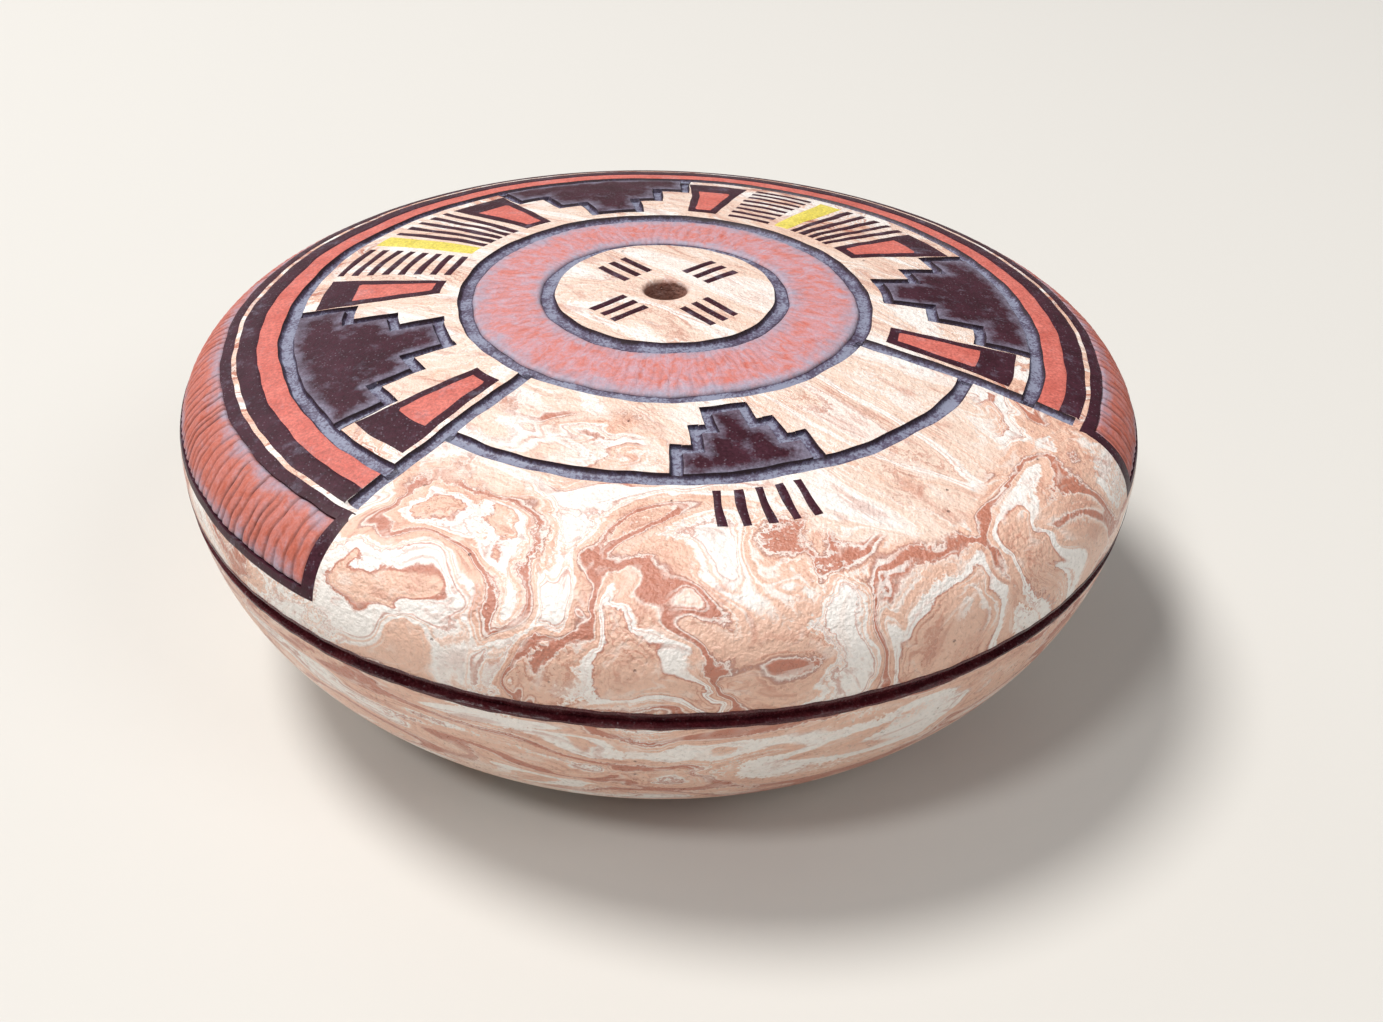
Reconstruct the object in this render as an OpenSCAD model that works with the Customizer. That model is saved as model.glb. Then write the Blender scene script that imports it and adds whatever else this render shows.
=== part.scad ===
// Seed pot: a closed, lens-shaped clay pot with one small hole in its crown.
// The bowl and the dome are luted together at a bevelled seam under the girdle line.
// The dome is carved, and coats of coloured slip lie on it and in its carved lines.
// The origin is the middle of the base, +Z is up and -Y is the bare front.

/* [Pot] */
// Largest outside diameter
pot_diameter = 100; // [80:1:160]
// Height of the dome above the widest line
dome_rise = 12; // [10:0.5:18]
// Depth of the bowl below the widest line
bowl_depth = 26; // [24:0.5:27]
// Radius of the rounded shoulder
shoulder_radius = 7.5; // [6:0.25:9]
// Radius of the lower wall's curve
wall_radius = 28.5; // [28:0.5:34]
// Radius of the curve from the wall into the base
base_edge_radius = 20; // [19:0.5:21]
// Thickness of the clay
clay_thickness = 4.5; // [3.5:0.25:5.5]

/* [Seed hole] */
// Diameter of the hole in the crown
hole_diameter = 4.4; // [4.2:0.1:8]
// Width of the bevel round the mouth of the hole
hole_bevel = 0.4; // [0.2:0.1:0.8]

/* [Seam and girdle] */
// Height of the girdle line below the widest line
girdle_drop = 3.2; // [2:0.1:5]
// Width of the girdle line
girdle_width = 1.3; // [0.8:0.1:2]
// Depth of the girdle line
girdle_depth = 0.9; // [0.5:0.1:1.2]
// Height that the seam's bevel climbs from the girdle line to the inside
seam_climb = 2.5; // [1:0.1:4]

/* [Carving] */
// Width of a carved ring, end line or front line
line_width = 1.6; // [1:0.1:2.2]
// Width of the carved outline round a stepped field
outline_width = 1.2; // [0.8:0.1:1.6]
// Depth of the carved lines
carve_depth = 0.6; // [0.3:0.05:1]
// Depth that the rose band is cut back to
band_depth = 0.45; // [0.3:0.05:0.6]
// Number of chatter notches round the rose band
notch_count = 80; // [40:1:96]
// Width of a chatter notch
notch_width = 0.5; // [0.3:0.05:0.7]
// Number of notches along the ribbed band on the shoulder
rib_count = 60; // [40:1:100]
// Depth of a chatter notch
notch_depth = 0.16; // [0.05:0.01:0.18]

/* [Slip] */
// Thickness of slip painted on the clay
slip = 0.15; // [0.1:0.01:0.25]
// Thickness of the rose slip under the chatter
rose_slip = 0.35; // [0.25:0.01:0.4]
// Width of a fine brush line
brush_line = 0.8; // [0.5:0.05:1.2]

/* [Layout] */
// Angle where the frieze starts, on the right
frieze_start = -22; // [-40:1:-20]
// Angle where the frieze ends, on the left front
frieze_end = 234; // [220:1:240]
// Half of the angle that a large stepped field spans at its widest
terrace_half = 17; // [14:0.5:18]
// Half of the angle that a hatched panel spans
panel_half = 16; // [13:0.5:17]
// Half of the angle that a feather wedge spans at its wide end
feather_half = 5.5; // [4:0.25:6]

/* [Hidden] */
$fn = 240;
// The part has one node for each name here, and "all" builds the whole pot

// Outside profile: four arcs that meet smoothly, and the flat base
pot_r = pot_diameter / 2;
eq_z = bowl_depth;
top_z = bowl_depth + dome_rise;
shoulder_x = pot_r - shoulder_radius;
crown_r = (shoulder_x * shoulder_x + dome_rise * dome_rise - shoulder_radius * shoulder_radius)
    / (2 * (dome_rise - shoulder_radius));
shoulder_c = [shoulder_x, eq_z];
crown_c = [0, top_z - crown_r];
crown_a = atan2(crown_r - dome_rise, shoulder_x);
crown_edge_r = shoulder_x + shoulder_radius * cos(crown_a);
wall_c = [pot_r - wall_radius, eq_z];
edge_reach = wall_radius - base_edge_radius;
edge_drop = bowl_depth - base_edge_radius;
edge_c = [wall_c.x + sqrt(edge_reach * edge_reach - edge_drop * edge_drop), base_edge_radius];
wall_a = atan2(-edge_drop, edge_c.x - wall_c.x);

// Radii of the layout, as shares of the pot's radius
ring_in_r = 0.244 * pot_r;
ring_out_r = 0.416 * pot_r;
frieze_r = 0.772 * pot_r;
front_r = 0.65 * pot_r;
stripe_mid_r = 0.832 * pot_r;
stripe_end_r = crown_edge_r - 0.4;
band_in_r = ring_in_r + line_width / 2;
band_out_r = ring_out_r - line_width / 2;
frieze_out_r = frieze_r - line_width / 2;
stripe_in_r = frieze_r + line_width / 2;
panel_in_r = 0.47 * pot_r;
panel_out_r = 0.728 * pot_r;

// The frieze runs feather, terrace, feather, panel and so on, with even spaces between
terrace_count = 3;
panel_count = terrace_count - 1;
feather_count = 2 * terrace_count;
item_count = terrace_count + panel_count + feather_count;
items_a = 2 * (terrace_count * terrace_half + panel_count * panel_half + feather_count * feather_half);
space_a = (frieze_end - frieze_start - items_a) / (item_count + 1);
feather_step_a = terrace_half + feather_half + space_a;
pair_a = 2 * (terrace_half + panel_half + 2 * feather_half + 2 * space_a);
terrace_a = frieze_start + 2 * space_a + 2 * feather_half + terrace_half;
panel_a = terrace_a + pair_a / 2;
front_a = (frieze_start + frieze_end + 360) / 2;

// Brush work: counts of fine lines, gaps beside the ochre bar, reach of the strokes
arc_count = 8;
stroke_count = 5;
bar_half = 2.2;
bar_gap = 2;
tip_r = 0.66 * pot_r;
rain_end_r = 0.77 * pot_r;
rain_a = 3.2;
centre_reach = 0.09 * pot_r;

// The ribbed band lies between two angles of the shoulder's curve
rib_low_a = 16;
rib_high_a = 68;
rib_span = frieze_end - frieze_start;

// Colours for the preview
clay_color = [0.86, 0.66, 0.52];
dark_color = [0.23, 0.14, 0.15];
red_color = [0.78, 0.40, 0.32];
rose_color = [0.82, 0.56, 0.54];
yellow_color = [0.85, 0.79, 0.42];

// Each step of a stepped field: inner radius, outer radius, half angle
terrace_steps = [
    [0.664 * pot_r, frieze_out_r, terrace_half],
    [0.572 * pot_r, 0.664 * pot_r, terrace_half * 0.65],
    [0.484 * pot_r, 0.572 * pot_r, terrace_half * 0.3]];
cloud_steps = [
    [0.58 * pot_r, front_r - line_width / 2, 11],
    [0.526 * pot_r, 0.58 * pot_r, 7],
    [0.472 * pot_r, 0.526 * pot_r, 3.2]];

// What lies outside an arc, between two rays from its centre
module trim(centre, radius, from, to) {
    difference() {
        polygon([centre, for (a = [from, (from + to) / 2, to]) centre + pot_diameter * [cos(a), sin(a)]]);
        translate(centre) circle(radius);
    }
}

// Half of the pot's outline, moved inward by a depth
module outline(depth) {
    difference() {
        intersection() {
            translate(crown_c) circle(crown_r - depth);
            translate([0, depth]) square([pot_r + 1, top_z]);
        }
        trim(shoulder_c, shoulder_radius - depth, 0, crown_a);
        trim(wall_c, wall_radius - depth, wall_a - 10, 20);
        trim(edge_c, base_edge_radius - depth, -90, wall_a);
    }
}

// Half of the clay wall's section
module clay_section() {
    difference() {
        outline(0);
        outline(clay_thickness);
    }
}

// Everything above the seam: level under the girdle line, then a bevel that climbs inward
module above_seam() {
    seam_z = eq_z - girdle_drop;
    foot = [pot_r - girdle_depth, seam_z];
    lip = [pot_r - clay_thickness - 1, seam_z + seam_climb];
    polygon([[0, lip.y], lip, foot, [pot_r + 1, seam_z], [pot_r + 1, top_z + 1], [0, top_z + 1]]);
}

// Section of a skin of the crown between two depths and two radii
module crown_skin(outer, inner, from, to) {
    intersection() {
        difference() {
            translate(crown_c) circle(crown_r - outer);
            translate(crown_c) circle(crown_r - inner);
        }
        translate([from, eq_z]) square([to - from, dome_rise + 2]);
    }
}

// Section of a skin of the shoulder between two depths, with a margin at each edge
module shoulder_skin(outer, inner, margin) {
    low = rib_low_a - margin;
    high = rib_high_a + margin;
    intersection() {
        difference() {
            outline(outer);
            outline(inner);
        }
        polygon([shoulder_c, for (a = [low, high]) shoulder_c + 3 * shoulder_radius * [cos(a), sin(a)]]);
    }
}

// A flat shape laid on the dome, between two depths
module on_dome(outer, inner) {
    intersection() {
        translate([0, 0, eq_z]) linear_extrude(dome_rise + 2) children();
        rotate_extrude() crown_skin(outer, inner, 0, crown_edge_r);
    }
}

// Girdle channel: a ring of rectangular section, cut in by a depth
module girdle_section(depth) {
    intersection() {
        difference() {
            outline(0);
            outline(depth);
        }
        translate([pot_r / 2, eq_z - girdle_drop - girdle_width / 2]) square([pot_r, girdle_width]);
    }
}

// Flat shapes of the layout, seen from above
module polar_shape(inner, outer, from, to) {
    intersection() {
        difference() {
            circle(outer);
            circle(inner);
        }
        mid = (from + to) / 2;
        polygon([[0, 0], for (a = [from, (from + mid) / 2, mid, (to + mid) / 2, to])
            2 * pot_r * [cos(a), sin(a)]]);
    }
}

// A long arc is made of two halves, so that its wedge stays under a full turn
module arc_shape(inner, outer, from, to) {
    mid = (from + to) / 2;
    polar_shape(inner, outer, from, mid);
    polar_shape(inner, outer, mid, to);
}

module stroke_shape(inner, outer, angle, width) {
    rotate(angle) translate([inner, -width / 2]) square([outer - inner, width]);
}

module stepped_shape(steps, angle) {
    for (s = steps) polar_shape(s[0], s[1], angle - s[2], angle + s[2]);
}

// The stepped field with a margin on every side but its outer one
module grown_shape(steps, angle, margin) {
    for (s = steps) {
        spread = s[2] + margin / s[1] * 180 / PI;
        polar_shape(s[0] - margin, s[1], angle - spread, angle + spread);
    }
}

module outline_shape(steps, angle) {
    difference() {
        grown_shape(steps, angle, outline_width);
        stepped_shape(steps, angle);
    }
}

module terrace_lines_shape() {
    for (i = [0 : terrace_count - 1]) outline_shape(terrace_steps, terrace_a + i * pair_a);
}

module frieze_shape() {
    arc_shape(frieze_r - line_width / 2, frieze_r + line_width / 2, frieze_start, frieze_end);
}

module end_shape() {
    for (a = [frieze_start, frieze_end]) stroke_shape(ring_out_r, stripe_end_r, a, line_width);
}

module front_shape() {
    difference() {
        polar_shape(front_r - line_width / 2, front_r + line_width / 2, frieze_end, frieze_start + 360);
        end_shape();
    }
}

// A feather wedge: narrow at its inner end, wide at its outer end
module wedge_shape(angle, inner, outer, inset) {
    reach = panel_out_r - panel_in_r;
    wide = panel_out_r * tan(feather_half);
    slim = wide * 0.45;
    from = slim + (wide - slim) * (inner - panel_in_r) / reach - inset;
    to = slim + (wide - slim) * (outer - panel_in_r) / reach - inset;
    rotate(angle) polygon([[inner, -from], [outer, -to], [outer, to], [inner, from]]);
}

module wedges_shape(inner, outer, inset) {
    for (i = [0 : terrace_count - 1], side = [-1, 1])
        wedge_shape(terrace_a + i * pair_a + side * feather_step_a, inner, outer, inset);
}

module hatch_arcs_shape() {
    for (i = [0 : panel_count - 1], n = [0 : arc_count - 1]) {
        radius = panel_in_r + n * (panel_out_r - panel_in_r - brush_line) / (arc_count - 1);
        from = panel_a + i * pair_a + bar_half + bar_gap;
        polar_shape(radius, radius + brush_line, from, panel_a + i * pair_a + panel_half);
    }
}

module hatch_bars_shape() {
    for (i = [0 : panel_count - 1], n = [0 : stroke_count - 1]) {
        angle = bar_half + bar_gap + n * (panel_half - bar_half - bar_gap) / (stroke_count - 1);
        stroke_shape(panel_in_r, panel_out_r, panel_a + i * pair_a - angle, brush_line);
    }
}

module yellow_shape() {
    for (i = [0 : panel_count - 1]) {
        angle = panel_a + i * pair_a;
        polar_shape(panel_in_r, panel_out_r, angle - bar_half, angle + bar_half);
    }
}

module stripe_shape(inner, outer) {
    margin = line_width / inner * 90 / PI;
    arc_shape(inner, outer, frieze_start + margin, frieze_end - margin);
}

module base_bowl() {
    color(clay_color) rotate_extrude() difference() {
        clay_section();
        above_seam();
        girdle_section(girdle_depth);
    }
}

// The full rings, the hole and the girdle line are cut in the turned section
module dome_section() {
    difference() {
        intersection() {
            clay_section();
            above_seam();
        }
        girdle_section(girdle_depth);
        translate([0, eq_z]) square([hole_diameter / 2, dome_rise + 1]);
        mouth_z = top_z - hole_bevel;
        reach = hole_diameter / 2 + hole_bevel;
        polygon([[0, mouth_z], [hole_diameter / 2, mouth_z], [reach + 1, top_z + 1], [0, top_z + 1]]);
        crown_skin(-1, carve_depth, band_in_r - line_width, band_in_r);
        crown_skin(-1, band_depth, band_in_r, band_out_r);
        crown_skin(-1, carve_depth, band_out_r, band_out_r + line_width);
    }
}

module upper_dome() {
    color(clay_color) difference() {
        rotate_extrude() dome_section();
        on_dome(-1, carve_depth) {
            frieze_shape();
            end_shape();
            front_shape();
            terrace_lines_shape();
            outline_shape(cloud_steps, front_a);
        }
        rotate(frieze_start) rotate_extrude(angle = rib_span) shoulder_skin(-1, band_depth, 0);
    }
}

module girdle_line() {
    color(dark_color) rotate_extrude() difference() {
        girdle_section(girdle_depth);
        outline(girdle_depth - slip);
    }
}

// A coat of dark slip on the floor of a carved line
module line_slip() {
    color(dark_color) on_dome(carve_depth - slip, carve_depth) children();
}

module inner_ring_line() {
    color(dark_color) rotate_extrude()
        crown_skin(carve_depth - slip, carve_depth, band_in_r - line_width, band_in_r);
}

module outer_ring_line() {
    color(dark_color) rotate_extrude()
        crown_skin(carve_depth - slip, carve_depth, band_out_r, band_out_r + line_width);
}

module frieze_line() {
    line_slip() difference() {
        frieze_shape();
        end_shape();
    }
}

module end_lines() {
    line_slip() difference() {
        end_shape();
        circle(ring_out_r + line_width / 2);
    }
}

module front_line() {
    line_slip() front_shape();
}

module terrace_lines() {
    line_slip() terrace_lines_shape();
}

module cloud_lines() {
    line_slip() outline_shape(cloud_steps, front_a);
}

// Rose slip on the cut-back band, with short notches chattered across it
module rose_band() {
    face = band_depth - rose_slip;
    notch_a = notch_width / band_out_r * 180 / PI;
    color(rose_color) difference() {
        rotate_extrude() crown_skin(face, band_depth, band_in_r, band_out_r);
        for (i = [0 : notch_count - 1])
            rotate(i * 360 / notch_count) rotate_extrude(angle = notch_a)
                crown_skin(face - 1, face + notch_depth, band_in_r - 1, band_out_r + 1);
    }
}

module dark_terraces() {
    color(dark_color) on_dome(-slip, 0)
        for (i = [0 : terrace_count - 1]) stepped_shape(terrace_steps, terrace_a + i * pair_a);
}

module front_cloud() {
    color(dark_color) on_dome(-slip, 0) stepped_shape(cloud_steps, front_a);
}

module red_feathers() {
    color(red_color) on_dome(-slip, 0) wedges_shape(panel_in_r + brush_line, tip_r, brush_line);
}

module feather_edges() {
    color(dark_color) on_dome(-slip, 0) difference() {
        wedges_shape(panel_in_r, panel_out_r, 0);
        wedges_shape(panel_in_r + brush_line, tip_r, brush_line);
    }
}

module yellow_bars() {
    color(yellow_color) on_dome(-slip, 0) yellow_shape();
}

module hatch_arcs() {
    color(dark_color) on_dome(-slip, 0) hatch_arcs_shape();
}

module hatch_bars() {
    color(dark_color) on_dome(-slip, 0) hatch_bars_shape();
}

module rain_strokes() {
    color(dark_color) on_dome(-slip, 0)
        for (n = [-2 : 2])
            stroke_shape(front_r + line_width / 2 + brush_line, rain_end_r, front_a + n * rain_a, brush_line);
}

module centre_strokes() {
    color(dark_color) on_dome(-slip, 0)
        for (side = [45 : 90 : 315], n = [-1 : 1])
            rotate(side) translate([hole_diameter / 2 + 2.5 * brush_line, (2 * n - 0.5) * brush_line])
                square([centre_reach, brush_line]);
}

module red_stripe() {
    color(red_color) on_dome(-slip, 0) stripe_shape(stripe_in_r, stripe_mid_r);
}

module dark_stripe() {
    color(dark_color) on_dome(-slip, 0) stripe_shape(stripe_mid_r, stripe_end_r);
}

// Rose slip on the cut-back band of the shoulder, notched into ribs
module ribbed_band() {
    face = band_depth - rose_slip;
    notch_a = notch_width / pot_r * 180 / PI;
    color(rose_color) rotate(frieze_start) difference() {
        rotate_extrude(angle = rib_span) shoulder_skin(face, band_depth, 0);
        for (i = [1 : rib_count])
            rotate(i * rib_span / (rib_count + 1)) rotate_extrude(angle = notch_a)
                shoulder_skin(face - 0.5, face + notch_depth, 4);
    }
}

base_bowl();
upper_dome();
girdle_line();
inner_ring_line();
outer_ring_line();
rose_band();
frieze_line();
end_lines();
front_line();
terrace_lines();
cloud_lines();
dark_terraces();
front_cloud();
red_feathers();
feather_edges();
yellow_bars();
hatch_arcs();
hatch_bars();
rain_strokes();
centre_strokes();
red_stripe();
dark_stripe();
ribbed_band();
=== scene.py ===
import math
import bpy
import numpy as np
from mathutils import Matrix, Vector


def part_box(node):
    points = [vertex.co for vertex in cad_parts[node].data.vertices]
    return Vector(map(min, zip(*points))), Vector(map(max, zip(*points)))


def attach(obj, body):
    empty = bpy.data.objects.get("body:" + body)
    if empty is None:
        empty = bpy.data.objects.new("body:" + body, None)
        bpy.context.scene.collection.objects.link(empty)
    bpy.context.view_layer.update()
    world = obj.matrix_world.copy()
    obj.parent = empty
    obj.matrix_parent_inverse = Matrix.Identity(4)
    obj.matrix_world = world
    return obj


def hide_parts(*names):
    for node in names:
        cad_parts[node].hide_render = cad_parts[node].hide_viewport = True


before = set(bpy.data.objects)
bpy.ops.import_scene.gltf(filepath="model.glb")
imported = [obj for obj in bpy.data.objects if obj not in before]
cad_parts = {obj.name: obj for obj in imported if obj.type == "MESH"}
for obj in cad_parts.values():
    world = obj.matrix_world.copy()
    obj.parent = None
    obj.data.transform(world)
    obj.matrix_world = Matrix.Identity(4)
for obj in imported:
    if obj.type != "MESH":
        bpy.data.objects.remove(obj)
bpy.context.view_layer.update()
mm = 0.001

# Sizes of the clay body, in millimetres; the outside is four arcs that run into each other
pot = dict(
    radius=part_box("upper_dome")[1][0] / mm, domeRise=12.0, bowlDepth=26.0, shoulderRadius=7.5,
    wallRadius=28.5, baseEdgeRadius=20.0, clay=4.5, holeRadius=2.2, holeLip=0.55,
)
# The carved layout on the dome: radii in millimetres, angles in degrees from +X
layout = dict(
    innerRing=12.2, outerRing=20.8, friezeRing=38.6, frontRing=32.5, lineWidth=1.6, outlineWidth=1.2,
    lineDepth=0.55, bandDepth=0.45, friezeStart=-22.0, friezeEnd=234.0, terraceHalf=17.0, panelHalf=16.0,
    featherHalf=5.5, panelIn=23.5, panelOut=36.4, featherTip=33.0, stripeMid=41.6, stripeEnd=43.67,
    brushLine=0.8,
)
# The girdle line runs over the seam between bowl and dome; lip is the rounding of its two edges
girdle = dict(drop=3.2, width=1.3, depth=0.9, seamClimb=2.5, lip=0.25)

shoulderR, wallR, edgeR = [pot[arc + "Radius"] for arc in ("shoulder", "wall", "baseEdge")]
domeRise = pot["domeRise"]
eqZ = pot["bowlDepth"]
topZ = eqZ + domeRise
girdleZ = eqZ - girdle["drop"]
shoulderX = pot["radius"] - shoulderR
crownR = (shoulderX ** 2 + domeRise ** 2 - shoulderR ** 2) / (2 * (domeRise - shoulderR))
crownTurn = math.atan2(shoulderX, crownR - domeRise)
wallX = pot["radius"] - wallR
edgeReach = wallR - edgeR
edgeDrop = eqZ - edgeR
edgeX = wallX + math.sqrt(edgeReach ** 2 - edgeDrop ** 2)
wallTurn = math.pi / 2 + math.atan2(edgeDrop, edgeX - wallX)

# Where each arc of the profile ends, measured along the outside from the crown's middle
crownEnd = crownR * crownTurn
shoulderEnd = crownEnd + shoulderR * (math.pi / 2 - crownTurn)
wallEnd = shoulderEnd + wallR * (wallTurn - math.pi / 2)
edgeEnd = wallEnd + edgeR * (math.pi - wallTurn)
baseEnd = edgeEnd + edgeX


# Profile: arc length s to radius, height and outward normal; each arc is centre + radius * (sin, cos)
# of its turn, and the flat base runs straight in
def profileAt(s):
    s = np.asarray(s, float)
    arcs = [s <= crownEnd, s <= shoulderEnd, s <= wallEnd, s <= edgeEnd]
    turns = [s / crownR,
             crownTurn + (s - crownEnd) / shoulderR,
             math.pi / 2 + (s - shoulderEnd) / wallR,
             wallTurn + (s - wallEnd) / edgeR]
    turn = np.select(arcs, turns, math.pi)
    centreR = np.select(arcs, [0.0, shoulderX, wallX, edgeX], baseEnd - s)
    centreZ = np.select(arcs, [topZ - crownR, eqZ, eqZ, edgeR], 0.0)
    arcR = np.select(arcs, [crownR, shoulderR, wallR, edgeR], 0.0)
    return centreR + arcR * np.sin(turn), centreZ + arcR * np.cos(turn), np.sin(turn), np.cos(turn)


def alongAtRadius(r):  # arc length on the crown at a plan radius
    return crownR * np.arcsin(np.asarray(r, float) / crownR)


def alongAtHeight(z, inset=0.0):  # arc length on the lower wall at a height, on a surface set in by inset
    return shoulderEnd + wallR * np.arcsin((eqZ - z) / (wallR - inset))


girdleTop = alongAtHeight(girdleZ + girdle["width"] / 2)
girdleEnd = alongAtHeight(girdleZ - girdle["width"] / 2)
seamIn = alongAtHeight(girdleZ + girdle["seamClimb"], pot["clay"])
seamOut = alongAtHeight(girdleZ, girdle["depth"])

# The hand's unevenness, in millimetres: drawn lines wander, more and more from the hole and less past the
# shoulder, and the form is out of true. A wave is its strength, turn per millimetre in x and y, and phase
hand = dict(
    lineWander=0.1, formWander=0.14, calmMm=4.0, growMm=5.0, pastMm=2.0, fadeMm=6.0,
    along=[(1.0, 0.42, 0.27, 1.0), (0.6, 0.31, -0.55, 2.3), (0.2, 0.8, 0.6, 0.0),
           (0.7, 1.3, -0.6, 0.4), (1.0, 0.5, 0.9, 0.0)],
    aside=[(1.0, -0.22, 0.36, 0.5), (0.6, 0.5, 0.4, 4.0), (0.2, 0.8, -0.6, 2.0),
           (0.7, 0.7, 1.2, 1.4), (1.0, 1.0, -0.4, 2.0)],
)


def planWaves(x, y, rows):  # sum of sines over the plan, the last two multiplied
    waves = [strength * np.sin(perX * x + perY * y + phase) for strength, perX, perY, phase in rows]
    return sum(waves[:-2]) + waves[-2] * waves[-1]


# Point on the pot: profile at s, turned by angle a, lifted by h along the normal; the waves push it
# along and aside, and sines of two, three and five turns put the form out of true
def onPot(s, a, h):
    s, a, h = np.broadcast_arrays(np.asarray(s, float), np.asarray(a, float), np.asarray(h, float))
    grown = np.clip((s - hand["calmMm"]) / hand["growMm"], 0, 1)
    wander = grown * np.clip((shoulderEnd + hand["pastMm"] - s) / hand["fadeMm"], 0, 1) * hand["lineWander"]
    plan = profileAt(s)[0]
    x, y = plan * np.cos(a), plan * np.sin(a)
    r, z, nr, nz = profileAt(s + wander * planWaves(x, y, hand["along"]))
    turn = a + wander * planWaves(x, y, hand["aside"]) / np.maximum(r, hand["calmMm"])
    out = r + h * nr
    up = z + h * nz
    bulge = np.sin(2 * turn + 0.7) + 0.6 * np.sin(3 * turn + 2.2) + 0.3 * np.sin(5 * turn + 0.12 * s)
    out = out * (1 + hand["formWander"] * bulge * np.clip(out / pot["radius"], 0, 1) / pot["radius"])
    lift = 0.5 * hand["formWander"] * np.sin(turn + 1.1) * np.clip(up / eqZ - 0.35, 0, 1)
    return np.stack([out * np.cos(turn), out * np.sin(turn), up + lift], -1)


def roundTurns(cols):  # even angles round the pot, as a row
    return np.linspace(0, 2 * math.pi, cols, endpoint=False)[None, :]


# Mesh from points in millimetres and an array or list of faces, smooth but for edges that turn by more
# than sharpAngle; node is the CAD node that the piece stands for, if any
def meshPiece(name, points, faces, material, node, uv=None, sharpAngle=38.0, values=None):
    mesh = bpy.data.meshes.new(name)
    faces = faces if isinstance(faces, list) else faces.tolist()
    mesh.from_pydata((points.reshape(-1, 3) * mm).tolist(), [], faces)
    mesh.polygons.foreach_set("use_smooth", np.ones(len(mesh.polygons), bool))
    if uv is not None:
        corners = np.empty(len(mesh.loops), np.int32)
        mesh.loops.foreach_get("vertex_index", corners)
        mesh.uv_layers.new(name="surfaceMm").data.foreach_set("uv", uv[corners].astype(np.float32).ravel())
    for key, data in (values or {}).items():
        mesh.attributes.new(key, "FLOAT", "POINT").data.foreach_set("value", data.astype(np.float32))
    mesh.set_sharp_from_angle(angle=math.radians(sharpAngle))
    mesh.validate()
    piece = bpy.data.objects.new(name, mesh)
    bpy.context.scene.collection.objects.link(piece)
    mesh.materials.append(material)
    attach(piece, "root")
    if node:
        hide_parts(node)
    print(f"piece {name}: {len(mesh.vertices)} points, {len(mesh.polygons)} faces")


# Quads of a grid whose rows run down and columns run round; wrap joins the last to the first
def gridFaces(rows, cols, wrapRows=False, wrapCols=True):
    i = np.arange(rows if wrapRows else rows - 1)[:, None]
    j = np.arange(cols if wrapCols else cols - 1)[None, :]
    below, beside = (i + 1) % rows, (j + 1) % cols
    corners = (i * cols + j, below * cols + j, below * cols + beside, i * cols + beside)
    return np.stack(np.broadcast_arrays(*corners), -1).reshape(-1, 4)


# Heights of the slip coats over the clay, in millimetres; under is how far they reach into it, edge the
# share of the height left at a coat's edge, and dust how far a field's dusty edge reaches in
coat = dict(line=0.025, field=0.06, brush=0.07, feather=0.05, overFeather=0.1, longEdge=0.04, shortEdge=0.045,
            under=0.08, edge=0.15, dust=1.3)


# Thin closed coat over chosen quads: the top lifted, the underside sunk, edges brought down to meet
def coatMesh(base, normal, quads, lift, sink):
    used, quads = np.unique(quads, return_inverse=True)
    quads = quads.reshape(-1, 4)
    count = len(used)
    ends = np.stack([quads, np.roll(quads, -1, axis=1)], -1).reshape(-1, 2)
    free = ends[~np.isin(ends[:, 0] * count + ends[:, 1], ends[:, 1] * count + ends[:, 0])]
    raised = np.full(count, float(lift)) if np.isscalar(lift) else lift[used]
    raised[np.unique(free)] *= coat["edge"]
    top = base[used] + normal[used] * raised[:, None]
    bottom = base[used] - normal[used] * sink
    walls = np.stack([free[:, 1], free[:, 0], free[:, 0] + count, free[:, 1] + count], -1)
    faces = np.concatenate([quads, quads[:, ::-1] + count, walls])
    return np.concatenate([top, bottom]), faces, used


# Coat over a grid of arc length and angle, on a floor at a depth, lifted along the smooth form's normals
def coatOnPot(s, a, depth, lift, sink, wrap=False):
    nr, nz = profileAt(s)[2:]
    normal = np.stack([nr * np.cos(a), nr * np.sin(a), nz], -1)
    quads = gridFaces(*s.shape, wrapCols=wrap)
    return coatMesh(onPot(s, a, -depth).reshape(-1, 3), normal.reshape(-1, 3), quads, lift, sink)


def gridNormals(points):  # normals of a grid of points from the cross product of its two directions
    across = np.gradient(points, axis=0)
    along = np.roll(points, -1, axis=1) - np.roll(points, 1, axis=1)
    n = np.cross(across, along)
    return n / np.maximum(np.linalg.norm(n, axis=-1, keepdims=True), 1e-12)


# Frieze order: feather, terrace, feather, panel, and so on, with even spaces
friezeEnds = (layout["friezeStart"], layout["friezeEnd"])
friezeMiddle = sum(friezeEnds) / 2
friezeHalf = (layout["friezeEnd"] - layout["friezeStart"]) / 2
terraceHalf, panelHalf, featherHalf = [layout[item + "Half"] for item in ("terrace", "panel", "feather")]
terraces, friezeSpaces = 3, 12
itemSpan = 2 * (terraces * terraceHalf + 2 * panelHalf + 6 * featherHalf)
spaceA = (2 * friezeHalf - itemSpan) / friezeSpaces
featherStep = terraceHalf + featherHalf + spaceA
pairA = 2 * (terraceHalf + panelHalf + 2 * featherHalf + 2 * spaceA)
terraceA = layout["friezeStart"] + 2 * spaceA + 2 * featherHalf + terraceHalf
panelA = terraceA + pairA / 2
frontA = friezeMiddle + 180
halfLine = layout["lineWidth"] / 2
halfOutline = layout["outlineWidth"] / 2

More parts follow.
